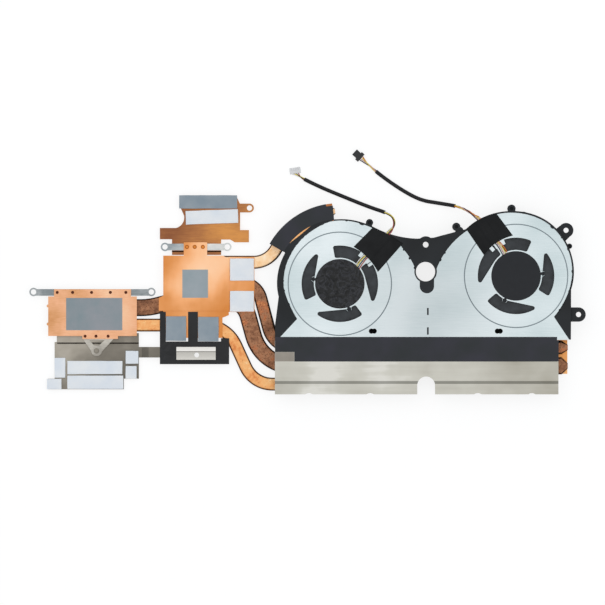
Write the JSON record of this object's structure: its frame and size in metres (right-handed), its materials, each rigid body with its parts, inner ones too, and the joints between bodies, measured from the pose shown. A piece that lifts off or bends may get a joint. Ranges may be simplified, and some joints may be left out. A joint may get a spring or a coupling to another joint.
{
  "type": "laptop cooling fan heatsink",
  "caption": "Laptop cooling module with twin blowers, flattened copper heat pipes, copper cold plates with thermal pads, spring brackets and finned outlets under a nickel cover.",
  "frame": {"origin": "middle of the module's outline at the base it lies on, the leads left out", "axes": "+X along the module towards the fans, +Y from the fins to the leads, +Z to the motherboard side"},
  "size_m": [0.3258, 0.1435, 0.0131],
  "materials": {
    "black_moulding": "moulded, fine grain",
    "zinc_sheet": "pressed zinc-coated sheet",
    "impeller_plastic": "moulded",
    "rotor_steel": "drawn",
    "ferrite": "sintered",
    "shaft_steel": "ground",
    "lamination_steel": "stamped",
    "winding_copper": "enamelled wire",
    "circuit_board": "solder mask",
    "brass": "turned",
    "thrust_plastic": "moulded",
    "black_label": "polyester film",
    "black_tape": "polyester tape",
    "wire_coating": "coloured wires",
    "black_sleeve": "shrunk sleeve",
    "white_nylon": "moulded",
    "black_nylon": "moulded",
    "fin_copper": "rolled copper, soldered",
    "fin_aluminium": "rolled",
    "nickel": "nickel plated",
    "copper_sheet": "rolled copper",
    "gap_tape": "coated cloth tape",
    "bright_copper": "clean copper",
    "brown_copper": "heat-tinted copper",
    "pink_copper": "rolled copper",
    "spring_steel": "stamped",
    "bracket_steel": "stamped, dull",
    "black_film": "polyester film",
    "rivet_copper": "pressed",
    "paste": "printed thermal paste",
    "light_pad": "soft silicone pad",
    "grey_pad": "soft silicone pad"
  },
  "bodies": {
    "module": {"arc_fin_stack": "fin_copper", "base_sheet": "copper_sheet", "bearing_sleeve_left": "brass", "bearing_sleeve_right": "brass", "black_film": "black_film", "bracket_sheet": "bracket_steel", "connector_left": "white_nylon", "connector_right": "black_nylon", "cpu_cold_plate": "pink_copper", "cpu_paste": "paste", "cpu_rivets": "rivet_copper", "cpu_spring": "spring_steel", "cpu_v_spring": "spring_steel", "fan_back_plate": "zinc_sheet", "fan_frame": "black_moulding", "fin_stack": "fin_aluminium", "gap_tape_arc": "gap_tape", "gap_tape_main": "gap_tape", "gpu_clip_spring": "spring_steel", "gpu_cold_plate": "bright_copper", "gpu_paste": "paste", "gpu_rivets": "rivet_copper", "gpu_spring": "spring_steel", "heat_pipe_arc": "bright_copper", "heat_pipe_gpu": "brown_copper", "heat_pipe_low": "bright_copper", "heat_pipe_wide": "brown_copper", "lead_left": "black_sleeve", "lead_right": "black_sleeve", "memory_pads_cpu": "light_pad", "memory_pads_gpu": "grey_pad", "memory_pads_side": "light_pad", "motor_board_left": "circuit_board", "motor_board_right": "circuit_board", "motor_label_left": "black_label", "motor_label_right": "black_label", "motor_wires_left": "wire_coating", "motor_wires_right": "wire_coating", "outlet_cover": "nickel", "stator_coils_left": "winding_copper", "stator_coils_right": "winding_copper", "stator_core_left": "lamination_steel", "stator_core_right": "lamination_steel", "thrust_pad_left": "thrust_plastic", "thrust_pad_right": "thrust_plastic", "vrm_pad_grey": "grey_pad", "vrm_pad_light": "light_pad", "vrm_plate": "brown_copper", "wire_tape_left": "black_tape", "wire_tape_right": "black_tape"},
    "impeller_left_body": {"impeller_left": "impeller_plastic", "rotor_yoke_left": "rotor_steel", "rotor_magnet_left": "ferrite", "rotor_shaft_left": "shaft_steel"},
    "impeller_right_body": {"impeller_right": "impeller_plastic", "rotor_yoke_right": "rotor_steel", "rotor_magnet_right": "ferrite", "rotor_shaft_right": "shaft_steel"}
  },
  "joints": [
    {"name": "impeller_left_spin", "type": "hinge", "parent": "module", "child": "impeller_left_body", "pos_m": [0.019, 0.0064, 0.006], "axis": [0, 0, 1], "continuous": true},
    {"name": "impeller_right_spin", "type": "hinge", "parent": "module", "child": "impeller_right_body", "pos_m": [0.1221, 0.011, 0.006], "axis": [0, 0, 1], "continuous": true}
  ]
}
